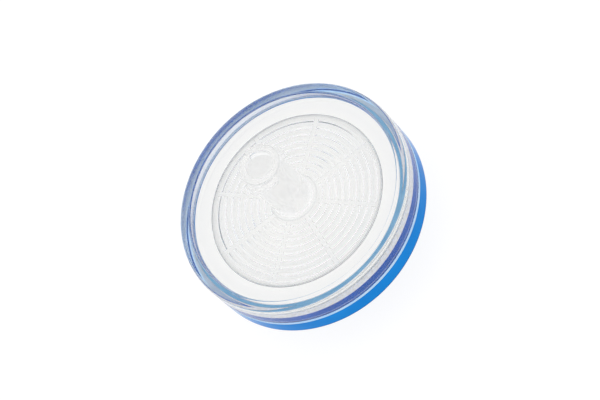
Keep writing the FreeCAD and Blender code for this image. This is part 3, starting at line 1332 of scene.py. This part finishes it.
@dataclass
class Membrane:
    """White filter disc between the housings.

    Attributes:
        levels: Levels and radii that the three pieces share.
        edge_round: Round of the disc's edges.
        edge_steps: Number of rows on a round.
        rings: Number of rows from the middle of a face to its edge.
        play: Gap above and below the disc, so that no two faces lie in one place.
        columns: Number of columns round the axis.
        finish: The cast felt, dead matt white.
    """

    levels: Levels
    edge_round: float = 0.03
    edge_steps: int = 4
    rings: int = 10
    play: float = 0.01
    columns: int = 192
    finish: FilterMembrane = FilterMembrane()

    @property
    def face_levels(self) -> tuple[float, float]:
        """Levels of the disc's lower and upper face."""
        return self.levels.membrane_foot + self.play, self.levels.membrane_top - self.play

    def section(self) -> tuple[np.ndarray, np.ndarray]:
        """Follow half the disc's section, from near one pole to near the other.

        It runs out along the lower face, round the edge's two quarter arcs and back along the upper face.

        Returns:
            Radius and level of each row, and its outward normal along the radius and the level.
        """
        foot, top = self.face_levels
        quarter = np.linspace(0, math.pi / 2, self.edge_steps)
        bend = self.edge_round
        out = self.levels.membrane_radius - bend
        face = np.linspace(0, out, self.rings + 2)[1:-1]
        radius = np.concatenate((face, out + bend * np.sin(quarter)))
        level = np.concatenate((np.full(self.rings, foot), foot + bend - bend * np.cos(quarter)))
        tilt = np.concatenate((np.zeros(self.rings), quarter))
        radius = np.concatenate((radius, radius[::-1]))
        level = np.concatenate((level, top + foot - level[::-1]))
        along = np.concatenate((np.sin(tilt), np.sin(tilt[::-1])))
        up = np.concatenate((-np.cos(tilt), np.cos(tilt[::-1])))
        return np.column_stack((radius, level)), np.column_stack((along, up))

    def build(self) -> bpy.types.Object:
        """Build the disc, in place of its CAD node: rings, and fans of triangles that close its two poles.

        Returns:
            The piece.
        """
        rows, row_normals = self.section()
        angles = np.arange(self.columns) * (2 * math.pi / self.columns) * np.ones((len(rows), 1))
        points, normals = lay_out(rows, row_normals, angles).flatten()
        foot, top = self.face_levels
        points = np.vstack(((0, 0, foot * MM), points, (0, 0, top * MM)))
        normals = np.vstack(((0, 0, -1), normals, (0, 0, 1)))
        number = 1 + np.arange(len(rows) * self.columns).reshape(-1, self.columns)
        beside = np.roll(number, -1, axis=1)
        quads = np.stack((number[:-1], beside[:-1], beside[1:], number[1:]), axis=-1).reshape(-1, 4)
        fan_foot = np.stack((0 * number[0], beside[0], number[0]), axis=-1)
        fan_top = np.stack((number[-1], beside[-1], 0 * number[-1] + len(points) - 1), axis=-1)
        faces = fan_foot.tolist() + quads.tolist() + fan_top.tolist()
        material = self.finish.build("membrane_cast_polymer")
        piece = add_piece("filter_membrane", points, faces, normals, [material])
        place(piece, "membrane", "membrane")
        return piece


# ---- Studio ----


@dataclass
class Studio:
    """Pale floor and white surround, which give all the light.

    Attributes:
        floor_size: Side of the floor, in metres.
        floor_colour: Colour of the floor to rays that carry light on.
        shown_share: How much of its light the shown floor gives back, which lets it hold a shadow.
        shown_glow: How much the shown floor glows, which makes up the rest to white.
        light_level: Light on a level surface, where 1 shows a colour as it is written.
        horizon_level: Light from the horizon.
        light_turns: How often light may turn on its way. Light caught in the clear rim turns often, and
            would otherwise end black.
    """

    floor_size: float = 3.0
    floor_colour: str = "#dcdcdc"
    shown_share: float = 0.2
    shown_glow: float = 0.87
    light_level: float = 1.0
    horizon_level: float = 0.9
    light_turns: int = 48

    def lay_floor(self) -> bpy.types.Object:
        """Lay a flat floor under the tip.

        To rays that show it, straight, mirrored or through clear plastic, it is partly lit and partly
        glowing, so that it is white and still holds a shadow. To all others it is plain pale paper.

        Returns:
            The floor.
        """
        half = self.floor_size / 2
        corners = [(-half, -half, 0), (half, -half, 0), (half, half, 0), (-half, half, 0)]
        mesh = bpy.data.meshes.new("floor")
        mesh.from_pydata(corners, [], [(0, 1, 2, 3)])
        floor = stand("floor", mesh)
        material, tree = new_material("floor_paper")
        path = add_node(tree, "ShaderNodeLightPath", {}, {})
        seen = path.outputs["Is Camera Ray"]
        for name in ("Is Glossy Ray", "Is Transmission Ray"):
            rays = add_node(
                tree, "ShaderNodeMath", {}, {0: seen, 1: path.outputs[name]}, operation="MAXIMUM",
            )
            seen = rays.outputs[0]
        lit = add_node(tree, "ShaderNodeBsdfDiffuse", {"Color": linear(self.floor_colour)}, {})
        share = self.shown_share
        dim = add_node(tree, "ShaderNodeBsdfDiffuse", {"Color": (share, share, share, 1.0)}, {})
        glow = add_node(
            tree, "ShaderNodeEmission", {"Color": (1.0, 1.0, 1.0, 1.0), "Strength": self.shown_glow}, {},
        )
        shown = add_node(tree, "ShaderNodeAddShader", {}, {0: dim.outputs[0], 1: glow.outputs[0]})
        show(tree, add_node(
            tree, "ShaderNodeMixShader", {}, {0: seen, 1: lit.outputs[0], 2: shown.outputs[0]},
        ))
        mesh.materials.append(material)
        return floor

    def light_world(self) -> None:
        """Surround the scene with soft white light from a broad ceiling.

        The light from a direction is horizon + rise × its upward share, which lights a level surface with
        horizon + 2/3 of the rise.
        """
        world = bpy.data.worlds.new("surround")
        world.use_nodes = True
        tree = world.node_tree
        tree.nodes.clear()
        rise = (self.light_level - self.horizon_level) * 3 / 2
        direction = add_node(tree, "ShaderNodeTexCoord", {}, {})
        parts = add_node(tree, "ShaderNodeSeparateXYZ", {}, {0: direction.outputs["Generated"]})
        strength = add_node(
            tree, "ShaderNodeMath", {1: rise, 2: self.horizon_level}, {0: parts.outputs["Z"]},
            operation="MULTIPLY_ADD",
        )
        level = add_node(
            tree, "ShaderNodeBackground", {"Color": (1.0, 1.0, 1.0, 1.0)},
            {"Strength": strength.outputs[0]},
        )
        add_node(tree, "ShaderNodeOutputWorld", {}, {"Surface": level.outputs[0]})
        bpy.context.scene.world = world

    def build(self) -> None:
        """Set up the floor, the light and how it travels."""
        self.lay_floor()
        self.light_world()
        bpy.context.scene.view_settings.view_transform = "Standard"
        cycles = bpy.context.scene.cycles
        # The usual blur after a soft bounce would frost the clear plate for light off the membrane, which
        # would then look grey.
        cycles.blur_glossy = 0.0
        cycles.max_bounces = self.light_turns
        cycles.transmission_bounces = self.light_turns
        cycles.glossy_bounces = self.light_turns


@dataclass
class Viewpoint:
    """The camera: looking down at the inlet side, leaning over to one side.

    Attributes:
        from_axis: Angle between the line of sight and the flow axis, in degrees.
        heading: Compass angle of the camera about the flow axis, counter-clockwise from +X, in degrees.
        lean: How far the flow axis leans left of upright in the frame, in degrees.
        distance: Distance to the middle of the filter, in millimetres.
        aim_right: How far right of the flow axis the camera aims, in millimetres.
        aim_up: How far above the flow axis the camera aims, in millimetres.
        centre: Level of the flow axis that it looks at, in millimetres.
        lens: Focal length in millimetres, on a 36 mm sensor.
        clip: Nearest and furthest distance that shows, in metres.
    """

    from_axis: float = 35.7
    heading: float = -79.0
    lean: float = 46.5
    distance: float = 350.0
    aim_right: float = 0.56
    aim_up: float = -0.02
    centre: float = 14.4
    lens: float = 144.3
    clip: tuple[float, float] = (0.01, 100.0)

    def build(self) -> bpy.types.Object:
        """Place the camera and make it the scene's own.

        The line of sight back from the target has the slope and the heading given, and the frame's up and
        right lie square to it, turned by the lean.

        Returns:
            The camera.
        """
        tilt, heading, lean = (math.radians(a) for a in (self.from_axis, self.heading, self.lean))
        level = math.sin(tilt)
        sight = Vector((level * math.cos(heading), level * math.sin(heading), math.cos(tilt)))
        axis_up = (Vector((0, 0, 1)) - sight * sight.z).normalized()
        axis_right = axis_up.cross(sight)
        up = axis_up * math.cos(lean) + axis_right * math.sin(lean)
        right = axis_right * math.cos(lean) - axis_up * math.sin(lean)
        target = Vector((0, 0, self.centre)) + right * self.aim_right + up * self.aim_up
        data = bpy.data.cameras.new("camera")
        data.lens = self.lens
        data.clip_start, data.clip_end = self.clip
        camera = stand("camera", data)
        turn = Matrix((right, up, sight)).transposed().to_4x4()
        camera.matrix_world = Matrix.Translation((target + sight * self.distance) * MM) @ turn
        bpy.context.scene.camera = camera
        return camera


def main() -> None:
    """Build the three pieces, the studio and the camera."""
    logging.basicConfig(level=logging.INFO, format="%(message)s")
    levels = Levels()
    for maker in (OutletHousing(levels), Membrane(levels), InletHousing(levels)):
        piece = maker.build()
        log.info("%s: %d faces", piece.name, len(piece.data.polygons))
    Studio().build()
    Viewpoint().build()


if __name__ == "__main__":
    main()
